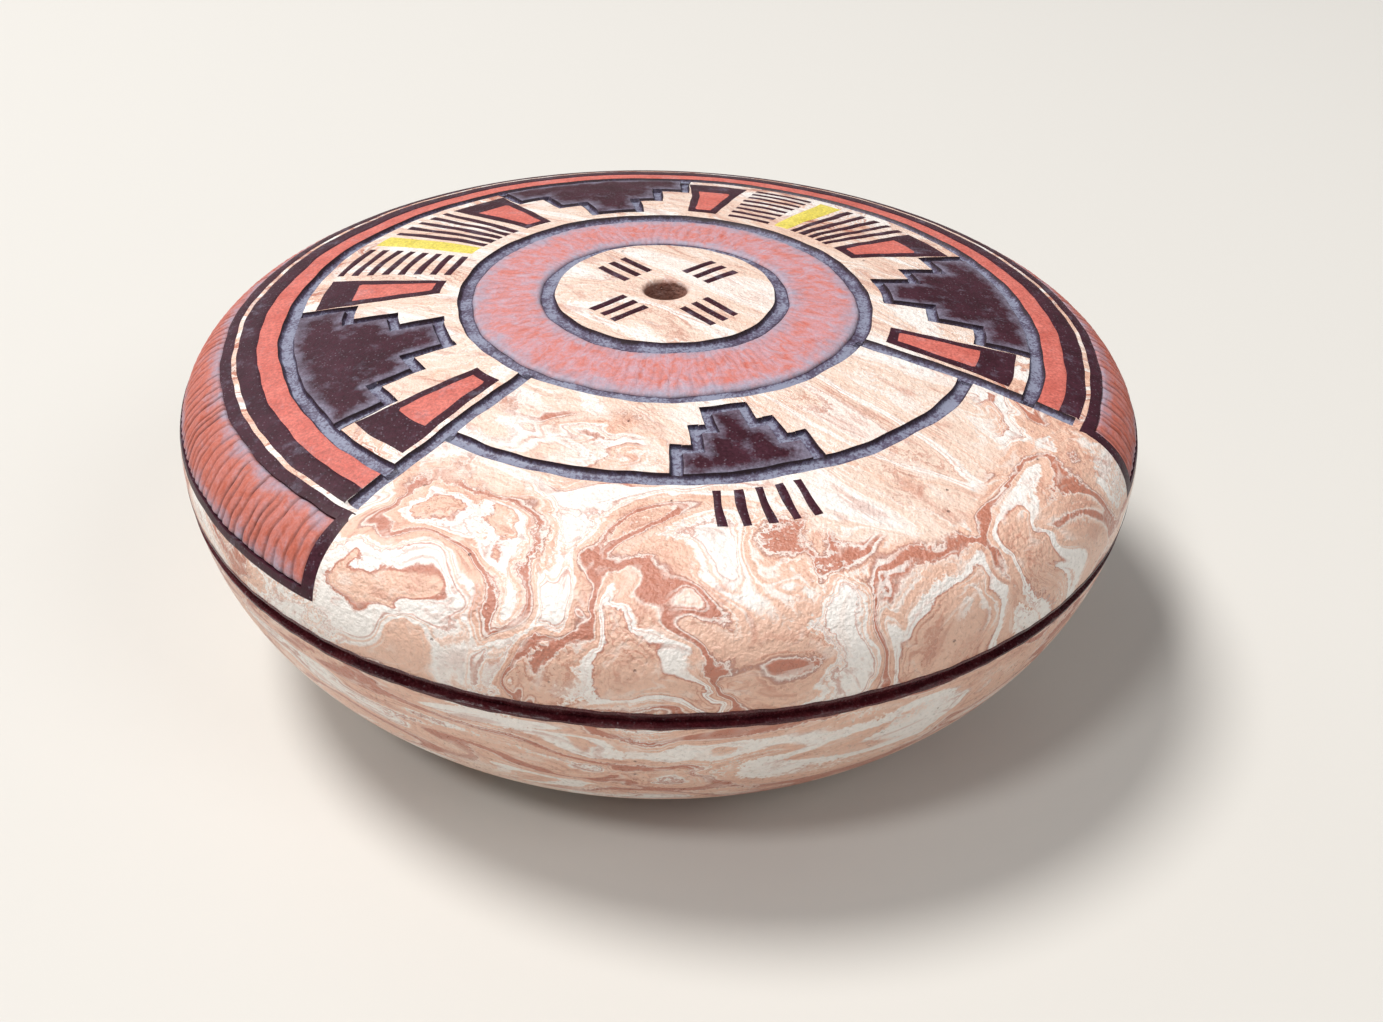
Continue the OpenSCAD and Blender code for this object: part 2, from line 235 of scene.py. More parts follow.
# Steps of a stepped field: inner radius, outer radius, half angle
terraceSteps = [
    (33.2, layout["friezeRing"] - halfLine, terraceHalf),
    (28.6, 33.2, terraceHalf * 0.65),
    (24.2, 28.6, terraceHalf * 0.3),
]
cloudSteps = [
    (29.0, layout["frontRing"] - halfLine, 11.0),
    (26.3, 29.0, 7.0),
    (23.6, 26.3, 3.2),
]
steppedFields = [("terrace", terraceA + i * pairA, terraceSteps) for i in range(terraces)]
steppedFields.append(("cloud", frontA, cloudSteps))

# A carved line's cross-section: samples from edge to edge, and depth = full depth * (1 - |t| ** 5)
acrossLine = np.array([-1.12, -1.0, -0.9, -0.66, 0.0, 0.66, 0.9, 1.0, 1.12])
# Spacing of the dome's grid: rows in millimetres, columns in degrees, and how near a filling one may come
# to those of a carved line; ribEnd is the angle over which the ribbed band's end wall drops
grid = dict(rowStep=1.0, rowGap=0.3, holeSpace=0.6, turnStep=0.9, turnGap=0.22, decimals=4, ribEnd=0.12)
# The lines that end the frieze have their true width at one radius, and draw in the columns near them
endLine = dict(radius=32.0, innerRadius=21.5, reach=6.5, fade=4.0)
endHalf = math.degrees(halfLine / endLine["radius"])


def channel(t):
    return np.clip(1 - np.abs(t) ** 5, 0, None)


def outlineSpread(step):  # angle that a carved outline takes beside a step
    return math.degrees(layout["outlineWidth"] / step[1])


def turnFrom(a, centre):  # signed angle from a centre, in degrees
    return (a - centre + 180) % 360 - 180


# Rows and columns of the dome's grid: close together on every carved line, spread out between
def gridCoordinates():
    rings = [layout["innerRing"], layout["outerRing"], layout["friezeRing"], layout["frontRing"]]
    edges = [step[0] - halfOutline for step in terraceSteps + cloudSteps]
    marked = np.concatenate([np.add.outer(rings, halfLine * acrossLine).ravel(),
                             np.add.outer(edges, halfOutline * acrossLine).ravel()])
    firstRow = pot["holeRadius"] + pot["holeLip"] + grid["holeSpace"]
    fill = np.arange(firstRow, layout["stripeEnd"], grid["rowStep"])
    fill = fill[np.abs(fill[:, None] - marked).min(axis=1) > grid["rowGap"]]
    rows = np.unique(np.round(np.concatenate([marked, fill]), grid["decimals"]))
    angles = []
    for _, centre, steps in steppedFields:
        for step in steps:
            half = outlineSpread(step) / 2
            angles += [centre + side * (step[2] + half) + half * acrossLine for side in (-1, 1)]
    for centre in friezeEnds:
        angles += [centre + endHalf * acrossLine, centre + grid["ribEnd"] * np.array([-1.0, 1.0])]
    markedA = np.concatenate(angles) % 360
    fillA = np.arange(0, 360, grid["turnStep"])
    gap = np.abs(turnFrom(fillA[:, None], markedA)).min(axis=1)
    cols = np.unique(np.round(np.concatenate([markedA, fillA[gap > grid["turnGap"]]]), grid["decimals"]))
    return rows, cols


rowR, colA = gridCoordinates()


# The end lines keep one width, so the columns near them draw together towards the rim
def columnAngles(r, a):
    out = a + 0 * r
    for centre in friezeEnds:
        d = turnFrom(a, centre)
        near = np.clip((endLine["reach"] - np.abs(d)) / endLine["fade"], 0, 1)
        near = near * near * (3 - 2 * near)
        out += d * near * (endLine["radius"] / np.maximum(r, endLine["innerRadius"]) - 1)
    return out


# Outline of one stepped field: a channel beside each step and one along its ledge, the deeper one kept
def steppedOutline(r, d, steps):
    depth, innerHalf = 0.0, 0.0
    for inner, outer, half in reversed(steps):
        spread = outlineSpread((inner, outer, half))
        side = channel((d - half - spread / 2) / (spread / 2))
        side = np.where((r >= inner - layout["outlineWidth"]) & (r <= outer + 0.01), side, 0)
        ledge = channel((r - inner + halfOutline) / halfOutline)
        ledge = np.where((d <= half + spread) & (d >= innerHalf), ledge, 0)
        depth = np.maximum(depth, np.maximum(side, ledge))
        innerHalf = half
    return depth


# Depth of carving at plan radius r and column angle a, one array for each named line
def carvedLines(r, a):
    inFrieze = np.abs(turnFrom(a, friezeMiddle)) <= friezeHalf + 0.05
    rings = {"inner_ring_line": ("innerRing", True), "outer_ring_line": ("outerRing", True),
             "frieze_line": ("friezeRing", inFrieze), "front_line": ("frontRing", ~inFrieze)}
    lines = {name: np.where(where, channel((r - layout[ring]) / halfLine), 0 * a)
             for name, (ring, where) in rings.items()}
    reach = (r >= layout["outerRing"]) & (r <= layout["stripeEnd"])
    ends = [np.where(reach, channel(turnFrom(a, centre) / endHalf), 0) for centre in friezeEnds]
    lines["end_lines"] = np.maximum(*ends)
    for kind in ("terrace", "cloud"):
        fields = [steppedOutline(r, np.abs(turnFrom(a, centre)), steps)
                  for field, centre, steps in steppedFields if field == kind]
        lines[kind + "_lines"] = np.max(fields, axis=0)
    return lines


def steppedMask(kind, r, a):  # true inside the stepped fields of one kind
    inside, hair = False, 0.001
    for field, centre, steps in steppedFields:
        if field == kind:
            d = np.abs(turnFrom(a, centre))
            for inner, outer, half in steps:
                inside = inside | (r > inner - hair) & (r < outer + hair) & (d < half + hair)
    return inside


def hexColour(text):  # sRGB hex to linear colour
    v = np.array([int(text[i:i + 2], 16) / 255 for i in (1, 3, 5)])
    v = np.where(v <= 0.04045, v / 12.92, ((v + 0.055) / 1.055) ** 2.4)
    return (*v.tolist(), 1.0)


# Adds a node with its settings, socket values and links; a node given as a link stands for its first output
def addNode(tree, kind, values=None, links=None, **settings):
    node = tree.nodes.new("ShaderNode" + kind)
    for key, value in settings.items():
        setattr(node, key, value)
    for key, value in (values or {}).items():
        node.inputs[key].default_value = value
    for key, source in (links or {}).items():
        tree.links.new(getattr(source, "outputs", [source])[0], node.inputs[key])
    return node


# A material with its node tree, its shader, the place on the piece in millimetres, and the noises read
# there, each from its size in millimetres, detail and roughness
def newMaterial(name, noises):
    material = bpy.data.materials.new(name)
    material.use_nodes = True
    tree = material.node_tree
    where = addNode(tree, "TexCoord").outputs["Object"]
    p = addNode(tree, "VectorMath", {1: (1 / mm,) * 3}, {0: where}, operation="MULTIPLY")
    made = {}
    for key, (size, detail, rough) in noises.items():
        settings = {"Scale": 1 / size, "Detail": detail, "Roughness": rough}
        made[key] = addNode(tree, "TexNoise", settings, {"Vector": p})
    return material, tree, tree.nodes["Principled BSDF"], p, made


def setRamp(node, stops):  # colour ramp from pairs of position and hex colour
    first, last = node.color_ramp.elements
    first.position, first.color = stops[0][0], hexColour(stops[0][1])
    last.position, last.color = stops[-1][0], hexColour(stops[-1][1])
    for place, colour in stops[1:-1]:
        node.color_ramp.elements.new(place).color = hexColour(colour)
    return node.outputs[0]


def tintOver(tree, colour, layers):  # tints laid over a colour in turn, each by its amount
    for tone, amount in layers:
        tint = {7: hexColour(tone)}
        colour = addNode(tree, "Mix", tint, {0: amount, 6: colour}, data_type="RGBA").outputs[2]
    return colour


def sanded(tree, colour, grain, span):  # colour multiplied by the grain, spread over a span of brightness
    sandy = addNode(tree, "MapRange", span, {0: grain})
    both = {6: colour, 7: sandy}
    return addNode(tree, "Mix", {0: 1.0}, both, data_type="RGBA", blend_type="MULTIPLY").outputs[2]


# Dots in cells of one size: strong at the cell's middle, gone at far, in a share of the cells
def dots(tree, p, sizeMm, near, far, strength, share):
    cells = addNode(tree, "TexVoronoi", {"Scale": 1 / sizeMm}, {"Vector": p})
    dot = addNode(tree, "MapRange", {1: near, 2: far, 3: strength, 4: 0.0}, {0: cells})
    chance = addNode(tree, "SeparateColor", {}, {0: cells.outputs["Color"]})
    some = addNode(tree, "Math", {1: 1 - share}, {0: chance}, operation="GREATER_THAN")
    return addNode(tree, "Math", {}, {0: dot, 1: some}, operation="MULTIPLY")


# Ends a material: colour to the shader, height as bump, and roughness between two values by the grain,
# or on the shader's own socket where both are the same
def finishSurface(tree, shader, colour, grain, roughness, height, strength, reliefMm):
    bump = addNode(tree, "Bump", {"Strength": strength, "Distance": reliefMm * mm}, {"Height": height})
    tree.links.new(colour, shader.inputs["Base Color"])
    tree.links.new(bump.outputs[0], shader.inputs["Normal"])
    low, high = roughness
    if low == high:
        shader.inputs["Roughness"].default_value = low
    else:
        sheen = addNode(tree, "MapRange", {1: 0.3, 2: 0.7, 3: low, 4: high}, {0: grain})
        tree.links.new(sheen.outputs[0], shader.inputs["Roughness"])


# Buff and red clays kneaded together, scraped, smoothed and fired without glaze: torn swirls of cream,
# peach and salmon with thin parallel lines, a dry sandy grain and a soft sheen. The sand and the leathery
# pits of real clay are finer; they are drawn this coarse so that they show
clayLook = dict(
    cream="#F8F1EA", pale="#F5E3D8", buff="#EFD1BE", peach="#EABDA5", salmon="#C07961", vein="#A5614D",
    raw="#8E5547", dust="#C48A76", grit="#74463A", bodyMm=15.0, wispMm=2.6, dustMm=0.8, gritMm=2.4,
    fineLines=42, bandEdge=0.003, roughness=(0.24, 0.4), shine=0.9, reliefMm=0.17,
    noises=dict(tear=(0.45, 3.0, 0.65), ragged=(6.0, 1.0, 0.5), patch=(7.5, 1.0, 0.5),
                scraped=(9.0, 3.0, 0.6), tongue=(21.0, 1.0, 0.5), grain=(0.45, 4.0, 0.75),
                leather=(0.9, 2.0, 0.6), worn=(4.0, 2.0, 0.5)),
)
# Bands of colour by the noise's level: where each starts, and its tone
swirlBands = [
    (0.0, "peach"), (0.335, "salmon"), (0.35, "cream"), (0.405, "salmon"), (0.411, "cream"), (0.42, "peach"),
    (0.427, "cream"), (0.446, "peach"), (0.492, "vein"), (0.497, "pale"), (0.504, "salmon"), (0.54, "pale"),
    (0.546, "peach"), (0.585, "cream"), (0.625, "salmon"), (0.632, "peach")]
streakBands = [
    (0.0, "pale"), (0.33, "cream"), (0.365, "pale"), (0.392, "buff"), (0.448, "pale"), (0.456, "buff"),
    (0.513, "peach"), (0.52, "buff"), (0.573, "cream"), (0.592, "pale"), (0.606, "cream"), (0.62, "buff"),
    (0.69, "pale")]
drawnBands = [
    (0.0, "peach"), (0.37, "cream"), (0.425, "salmon"), (0.432, "cream"), (0.445, "peach"), (0.5, "salmon"),
    (0.545, "pale"), (0.551, "peach"), (0.6, "cream"), (0.645, "peach")]


# Kneaded layers: noise read at a place that coarser noises have pushed aside, cut into bands of colour;
# pushes are pairs of a noise's size and its push, in millimetres
def kneadedLayers(tree, p, noise, place, stretch, turn, pushes, bands):
    look = clayLook
    angle = {"Angle": math.radians(turn)}
    turned = addNode(tree, "VectorRotate", angle, {"Vector": p}, rotation_type="Z_AXIS")
    here = addNode(tree, "Mapping", {"Location": place, "Scale": stretch}, {"Vector": turned})
    for size, push in pushes:
        drift = addNode(tree, "TexNoise", {"Scale": 1 / size, "Detail": 1.0}, {"Vector": here})
        moved = {0: drift.outputs["Color"], 2: here}
        here = addNode(tree, "VectorMath", {1: (push,) * 3}, moved, operation="MULTIPLY_ADD")
    bodySize = {"Scale": 1 / look["bodyMm"], "Detail": 2.0, "Roughness": 0.42}
    wispSize = {"Scale": 1 / look["wispMm"], "Detail": 3.0, "Roughness": 0.6, "Distortion": 0.6}
    body, wisp = [addNode(tree, "TexNoise", size, {"Vector": here}) for size in (bodySize, wispSize)]
    torn = addNode(tree, "MapRange", {1: 0.4, 2: 0.66, 3: 0.012, 4: 0.075}, {0: noise["ragged"]})
    centred = addNode(tree, "Math", {1: 0.5}, {0: noise["tear"]}, operation="SUBTRACT")
    level = addNode(tree, "Math", {}, {0: centred, 1: torn, 2: body}, operation="MULTIPLY_ADD")
    stops = [(0.0, look[bands[0][1]])]
    for (start, tone), (_, before) in zip(bands[1:], bands):
        stops += [(start - look["bandEdge"], look[before]), (start + look["bandEdge"], look[tone])]
    colour = setRamp(addNode(tree, "ValToRGB", {}, {"Fac": level}), stops)
    # fine lines that keep beside the swirls, and small wisps drawn out along them, both in patches
    beat = addNode(tree, "Math", {1: 2 * math.pi * look["fineLines"]}, {0: level}, operation="MULTIPLY")
    wave = addNode(tree, "Math", {}, {0: beat}, operation="SINE")
    thin = addNode(tree, "MapRange", {1: 0.3, 2: 0.9}, {0: wave})
    layers = []
    for high, most, tone in ((0.64, 0.6, "salmon"), (0.36, 0.75, "cream")):
        where = addNode(tree, "MapRange", {1: 0.5, 2: high, 4: most}, {0: noise["patch"]})
        layers.append((look[tone], addNode(tree, "Math", {}, {0: thin, 1: where}, operation="MULTIPLY")))
    for low, high, most, tone in ((0.55, 0.66, 0.5, "pale"), (0.43, 0.34, 0.45, "salmon")):
        layers.append((look[tone], addNode(tree, "MapRange", {1: low, 2: high, 4: most}, {0: wisp})))
    return tintOver(tree, colour, layers)


# Marbled clay: streaks where the scraper dragged the crown, with quiet tongues down the side, and swirls
# below and between; then dust, grit and grain over both, and raw clay in the hole and within
def marbledClay(name, stretch, pushes, bands):
    look = clayLook
    material, tree, shader, p, noise = newMaterial(name, look["noises"])
    swirls = kneadedLayers(tree, p, noise, (31.0, 7.0, 3.0), stretch, 0.0, pushes, bands)
    streaks = kneadedLayers(tree, p, noise, (5.0, 40.0, 0.0), (0.42, 1.5, 1.0), 34.0,
                            ((16.0, 9.0), (5.0, 2.4), (1.6, 0.7)), streakBands)
    flat = addNode(tree, "VectorMath", {1: (1, 1, 0)}, {0: p}, operation="MULTIPLY")
    reach = addNode(tree, "VectorMath", {}, {0: flat}, operation="LENGTH").outputs["Value"]
    for push, layer in ((26.0, "scraped"), (64.0, "tongue")):
        reach = addNode(tree, "Math", {1: push}, {0: noise[layer], 2: reach}, operation="MULTIPLY_ADD")
    outer = addNode(tree, "MapRange", {1: 79.0, 2: 83.0}, {0: reach})
    colour = addNode(tree, "Mix", {}, {0: outer, 6: streaks, 7: swirls}, data_type="RGBA").outputs[2]
    dust = dots(tree, p, look["dustMm"], 0.1, 0.3, 0.3, 0.4)
    grit = dots(tree, p, look["gritMm"], 0.03, 0.07, 0.6, 0.25)
    colour = tintOver(tree, colour, [(look["dust"], dust), (look["grit"], grit)])
    colour = sanded(tree, colour, noise["grain"], {1: 0.3, 2: 0.7, 3: 0.88, 4: 1.07})
    inside = addNode(tree, "Attribute", attribute_name="inside").outputs["Fac"]
    colour = tintOver(tree, colour, [(look["raw"], inside)])
    height = noise["grain"]  # worn hollows and leathery pits add to the grain, and the grit is sunk
    for share, layer in ((1.3, noise["worn"]), (1.15, noise["leather"]), (-2.0, grit)):
        height = addNode(tree, "Math", {1: share}, {0: layer, 2: height}, operation="MULTIPLY_ADD")
    shader.inputs["Specular IOR Level"].default_value = look["shine"]
    finishSurface(tree, shader, colour, noise["grain"], look["roughness"], height, 1.0, look["reliefMm"])
    return material


# Brush-laid slip of one colour over smoothed clay: even, a little mottled, with a fine grain and flecks,
# both drawn coarser than a slip's own so that they show
slipLook = dict(fleckMm=0.34, reliefMm=0.07,
                noises=dict(mottle=(3.0, 4.0, 0.65), cloud=(2.6, 6.0, 0.75), grain=(0.3, 3.0, 0.65)))


def brushedSlip(name, low, high, fleck, fleckShare, roughness, haze=None, shine=0.5):
    look = slipLook
    material, tree, shader, p, noise = newMaterial(name, look["noises"])
    spread = addNode(tree, "MapRange", {1: 0.35, 2: 0.68}, {0: noise["mottle"]})
    ends = {6: hexColour(low), 7: hexColour(high)}
    colour = addNode(tree, "Mix", ends, {0: spread}, data_type="RGBA").outputs[2]
    flecks = dots(tree, p, look["fleckMm"], 0.05, 0.34, 1.0, fleckShare)
    layers = [(fleck, addNode(tree, "Math", {1: 0.3}, {0: flecks}, operation="MULTIPLY"))]
    if haze:  # dust from the cut line settles on the field's edge
        nearEdge = addNode(tree, "Attribute", attribute_name="nearEdge").outputs["Fac"]
        ragged = addNode(tree, "Math", {1: 0.3}, {0: nearEdge, 2: noise["cloud"]}, operation="MULTIPLY_ADD")
        layers.append((haze, addNode(tree, "MapRange", {1: 0.55, 2: 0.86, 4: 0.8}, {0: ragged})))
    colour = tintOver(tree, colour, layers)
    colour = sanded(tree, colour, noise["grain"], {1: 0.32, 2: 0.7, 3: 0.72, 4: 1.35})
    height = addNode(tree, "Math", {1: 0.8}, {0: flecks, 2: noise["grain"]}, operation="MULTIPLY_ADD")
    shader.inputs["Specular IOR Level"].default_value = shine
    sheen = (roughness - 0.07, roughness + 0.1)
    finishSurface(tree, shader, colour, noise["grain"], sheen, height, 0.6, look["reliefMm"])
    return material


# Dark slip rubbed into a cut line: dark on the walls, a dusty slate bloom on the floor; bloom is the ramp
# from wall to floor, and the sand and grain are drawn coarse enough to show
lineLook = dict(bloom=[(0.25, "#2B161F"), (0.55, "#42344A"), (0.82, "#605A70"), (1.0, "#85889C")],
                roughness=(0.42, 0.62), reliefMm=0.06,
                noises=dict(cloud=(3.2, 2.0, 0.6), sand=(0.32, 3.0, 0.75), grain=(0.3, 3.0, 0.7)))


def rubbedLine(name):
    look = lineLook
    material, tree, shader, _, noise = newMaterial(name, look["noises"])
    floor = addNode(tree, "Attribute", attribute_name="floor").outputs["Fac"]
    stretches = addNode(tree, "Math", {1: 1.2, 2: -1.5}, {0: noise["cloud"]}, operation="MULTIPLY_ADD")
    uneven = addNode(tree, "Math", {1: 1.7}, {0: noise["sand"], 2: stretches}, operation="MULTIPLY_ADD")
    shifted = addNode(tree, "Math", {}, {0: floor, 1: uneven}, operation="ADD")
    colour = setRamp(addNode(tree, "ValToRGB", {}, {"Fac": shifted}), look["bloom"])
    grain = noise["grain"]
    finishSurface(tree, shader, colour, grain, look["roughness"], grain, 0.5, look["reliefMm"])
    return material


# Rose slip on cut-back clay that a blade has chattered over: short scratches across the band, a grey haze
# at its edges, and painted shade in its hollows; sizes are along and across the band, and the grain is coarse
# enough to show
roseLook = dict(nick="#8A433C", haze="#969CB0", hollowShade="#4E221E", scratchMm=(1.1, 1.7), nickMm=(0.4, 3.0),
                hazeFrom=1.3, hazeFull=3.4, roughness=(0.62, 0.62), reliefMm=0.09,
                noises=dict(cloud=(2.2, 4.0, 0.7), grain=(0.3, 3.0, 0.7)))


def chatteredRose(name, width, tones):
    look = roseLook
    material, tree, shader, _, noise = newMaterial(name, look["noises"])
    uv = addNode(tree, "TexCoord").outputs["UV"]
    along, fine = [addNode(tree, "Mapping", {"Scale": (1 / size[0], 1 / size[1], 1.0)}, {"Vector": uv})
                   for size in (look["scratchMm"], look["nickMm"])]
    rough = {"Scale": 1.0, "Detail": 5.0, "Roughness": 0.72, "Distortion": 0.9}
    scratch = addNode(tree, "TexNoise", rough, {"Vector": along})
    colour = setRamp(addNode(tree, "ValToRGB", {}, {"Fac": scratch}), tones)
    nick = addNode(tree, "TexNoise", {"Scale": 1.0, "Detail": 3.0, "Roughness": 0.6}, {"Vector": fine})
    cut = addNode(tree, "MapRange", {1: 0.38, 2: 0.3, 4: 0.4}, {0: nick})
    across = addNode(tree, "SeparateXYZ", {}, {0: uv}).outputs[1]
    middle = addNode(tree, "Math", {1: width / 2}, {0: across}, operation="SUBTRACT")
    off = addNode(tree, "Math", {}, {0: middle}, operation="ABSOLUTE")
    ragged = addNode(tree, "Math", {1: 6.0}, {0: noise["cloud"], 2: off}, operation="MULTIPLY_ADD")
    edge = {1: width / 2 + look["hazeFrom"], 2: width / 2 + look["hazeFull"], 4: 0.75}
    haze = addNode(tree, "MapRange", edge, {0: ragged})
    # Painted shade: a dark brown laid into the hollows between the ridges, as strong as they are deep
    hollowShade = addNode(tree, "Attribute", attribute_name="hollowShade").outputs["Fac"]
    deep = addNode(tree, "Math", {1: 0.9}, {0: hollowShade}, operation="MULTIPLY")
    layers = [(look["nick"], cut), (look["haze"], haze), (look["hollowShade"], deep)]
    colour = tintOver(tree, colour, layers)
    colour = sanded(tree, colour, noise["grain"], {1: 0.3, 2: 0.72, 3: 0.86, 4: 1.12})
    height = addNode(tree, "Math", {1: 1.2}, {0: nick, 2: noise["grain"]}, operation="MULTIPLY_ADD")
    finishSurface(tree, shader, colour, noise["grain"], look["roughness"], height, 0.7, look["reliefMm"])
    return material


domeClay = marbledClay("marbled clay, smoothed dome", (1.0, 1.0, 1.3),
                       ((20.0, 26.0), (7.0, 8.0), (2.2, 1.7)), swirlBands)
bowlClay = marbledClay("marbled clay, smoothed bowl", (0.6, 0.6, 2.0),
                       ((20.0, 20.0), (6.0, 4.0), (2.2, 1.2)), drawnBands)
darkSlip = brushedSlip("dark brown slip, brushed", "#33131D", "#43202C", "#A19AA8", 0.4, 0.42,
                       "#7F7A8C", 0.18)
redSlip = brushedSlip("iron red slip, brushed", "#B8594D", "#CA6E62", "#DCA198", 0.12, 0.58, "#BC9496")
yellowSlip = brushedSlip("yellow ochre slip, brushed", "#CCBA48", "#DBCB62", "#EFE3A4", 0.12, 0.56)
girdleSlip = brushedSlip("dark brown slip, thick in the girdle line", "#3A1118", "#571F24", "#A08088",
                         0.25, 0.24, shine=0.28)
lineSlip = rubbedLine("dark slip rubbed into cut lines")
roseRing = chatteredRose("rose slip, chattered band", 7.0,
                         [(0.3, "#C66454"), (0.42, "#C77C75"), (0.53, "#C48B8F"), (0.68, "#BCA0AB")])
roseRibs = chatteredRose("rose slip, ribbed band", 6.8,
                         [(0.32, "#AF5540"), (0.45, "#BA6453"), (0.58, "#BE7369"), (0.74, "#B9888B")])
print("materials made")

# Chattered band round the hole: tuck is how far it runs under the ring lines, and evenness is 1 for ridges
# that are all alike
rose = dict(pitch=1.0, height=0.09, evenness=0.25, tuck=0.1, proud=0.28, rows=26, cols=900)
# Ribbed band: its turn on the shoulder in degrees, the gaps between notches, and each notch's share of the
# depth and place where it starts; grow is the way over which a notch deepens, wall the drop of its long edges
# The notches' painted shade reaches 0.28 mm either side of a cut's middle
ribs = dict(top=22.0, bottom=74.0, narrow=0.75, wide=1.6, height=0.34, proud=0.42, deep=(0.5, 1.0),
            start=(-3.5, 2.6), grow=2.2, hollowShade=0.28, lumps=0.025, wall=0.1, seed=11, rows=24, cols=1700)
ribTop, ribBottom = [crownEnd + shoulderR * (math.radians(ribs[edge]) - crownTurn)
                     for edge in ("top", "bottom")]

# Dome's outside on its crown: every carved line and the sunken band cut into the grid
gridR, gridA = rowR[:, None], colA[None, :]
depthUnits = carvedLines(gridR, gridA)
depthAll = np.max(np.stack(list(depthUnits.values())), axis=0) * layout["lineDepth"]
bandIn = layout["innerRing"] + halfLine
bandOut = layout["outerRing"] - halfLine
floorTuck = 0.12  # how far the sunken band's floor runs under the ring lines
inBand = (gridR > bandIn - floorTuck) & (gridR < bandOut + floorTuck)
depthAll = np.where(inBand, np.maximum(depthAll, layout["bandDepth"]), depthAll)
crownPoints = onPot(alongAtRadius(gridR), np.radians(columnAngles(gridR, gridA)), -depthAll)
crownNormals = gridNormals(crownPoints)

# Rows of points in each stretch of the two clay halves, and how raw the clay is inside and at the mouth
domeRows = dict(wall=9, crown=10, hole=6, mouth=6, lip=4, shoulder=(4, 13, 7), rawInside=0.85, rawMouth=0.8)
bowlRows = dict(inside=40, outside=70, lip=4, round=360, basePole=0.6)


# Rows below the crown: shoulder with the sunk place for the ribs, then the wall down to the girdle line
def lowerRows():
    above, beside, below = domeRows["shoulder"]
    s = np.concatenate([
        np.linspace(alongAtRadius(layout["stripeEnd"]) + 0.4, ribTop - ribs["wall"], above),
        np.linspace(ribTop, ribBottom, beside),
        np.linspace(ribBottom + ribs["wall"], girdleTop - girdle["lip"], below)])
    inRibs = np.abs(turnFrom(colA, friezeMiddle)) < friezeHalf
    sunk = ((s >= ribTop - 1e-6) & (s <= ribBottom + 1e-6))[:, None] & inRibs[None]
    return s, np.where(sunk, layout["bandDepth"], 0.0)


# Dome: one closed grid whose section goes round the clay, by the inside, the hole's wall, its quarter-round
# mouth, the crown, the shoulder, and the quarter-round lip of the girdle line
def domePiece():
    shoulderS, sunk = lowerRows()
    turn = np.radians(colA)[None, :]
    clay, hole, lip = pot["clay"], pot["holeRadius"], pot["holeLip"]
    innerS = np.concatenate([np.linspace(seamIn, crownEnd, domeRows["wall"]),
                             np.linspace(crownEnd, hole + 0.3, domeRows["crown"])[1:]])
    wallH = np.linspace(-clay + 0.3, -lip - 0.1, domeRows["hole"])
    mouthQ = np.linspace(0, math.pi / 2, domeRows["mouth"])
    lipQ = np.linspace(0, math.pi / 2, domeRows["lip"])[1:]
    points = np.concatenate([
        onPot(innerS[:, None], turn, -clay),
        onPot(hole, turn, wallH[:, None]),
        onPot(hole + lip * (1 - np.cos(mouthQ))[:, None], turn, lip * (np.sin(mouthQ) - 1)[:, None]),
        crownPoints,
        onPot(shoulderS[:, None], turn, -sunk),
        onPot(girdleTop - girdle["lip"] * (1 - np.sin(lipQ))[:, None], turn,
              girdle["lip"] * (np.cos(lipQ) - 1)[:, None]),
        onPot(np.array([[girdleTop], [seamOut]]), turn, -girdle["depth"]),
    ])
    rows, cols = points.shape[:2]
    rawRows = len(innerS) + domeRows["hole"]
    inside = np.concatenate([np.full(rawRows, domeRows["rawInside"]),
                             np.linspace(domeRows["rawMouth"], 0.0, domeRows["mouth"]),
                             np.zeros(rows - rawRows - domeRows["mouth"])])
    faces = gridFaces(rows, cols, wrapRows=True)
    meshPiece("upperDome", points, faces, domeClay, "upper_dome",
              values={"inside": np.repeat(inside, cols)})


# Bowl: a grid from the base's middle up the inside, over the bevelled seam and down the outside, closed at
# each end by a fan of triangles
def bowlPiece():
    cols = bowlRows["round"]
    turn = roundTurns(cols)
    clay, nearPole = pot["clay"], baseEnd - bowlRows["basePole"]
    q = np.linspace(0, math.pi / 2, bowlRows["lip"])
    s = np.concatenate([
        np.linspace(nearPole, seamIn, bowlRows["inside"]), [seamOut, girdleEnd],
        girdleEnd + girdle["lip"] * (1 - np.cos(q)),
        np.linspace(girdleEnd + 0.6, nearPole, bowlRows["outside"])])
    h = np.concatenate([
        np.full(bowlRows["inside"], -clay), np.full(2, -girdle["depth"]), girdle["lip"] * (np.sin(q) - 1),
        np.zeros(bowlRows["outside"])])
    points = onPot(s[:, None], turn, h[:, None]).reshape(-1, 3)
    poles = onPot(np.array([baseEnd, baseEnd]), 0.0, np.array([-clay, 0.0]))
    poles[:, :2] = 0
    j = np.arange(cols)
    k = (j + 1) % cols
    lastRow, pole = len(points) - cols, np.full(cols, len(points))
    faces = gridFaces(len(s), cols).tolist()
    faces += np.stack([pole, j, k], -1).tolist()
    faces += np.stack([pole + 1, lastRow + k, lastRow + j], -1).tolist()
    meshPiece("baseBowl", np.concatenate([points, poles]), faces, bowlClay, "base_bowl")


domePiece()
bowlPiece()

# Coats in the carved lines, and on the stepped fields, lie on the dome's own grid
crownQuads = gridFaces(len(rowR), len(colA))
flatPoints, flatNormals = crownPoints.reshape(-1, 3), crownNormals.reshape(-1, 3)


def pieceName(node):  # a node's name in camelCase
    first, *rest = node.split("_")
    return first + "".join(word.capitalize() for word in rest)


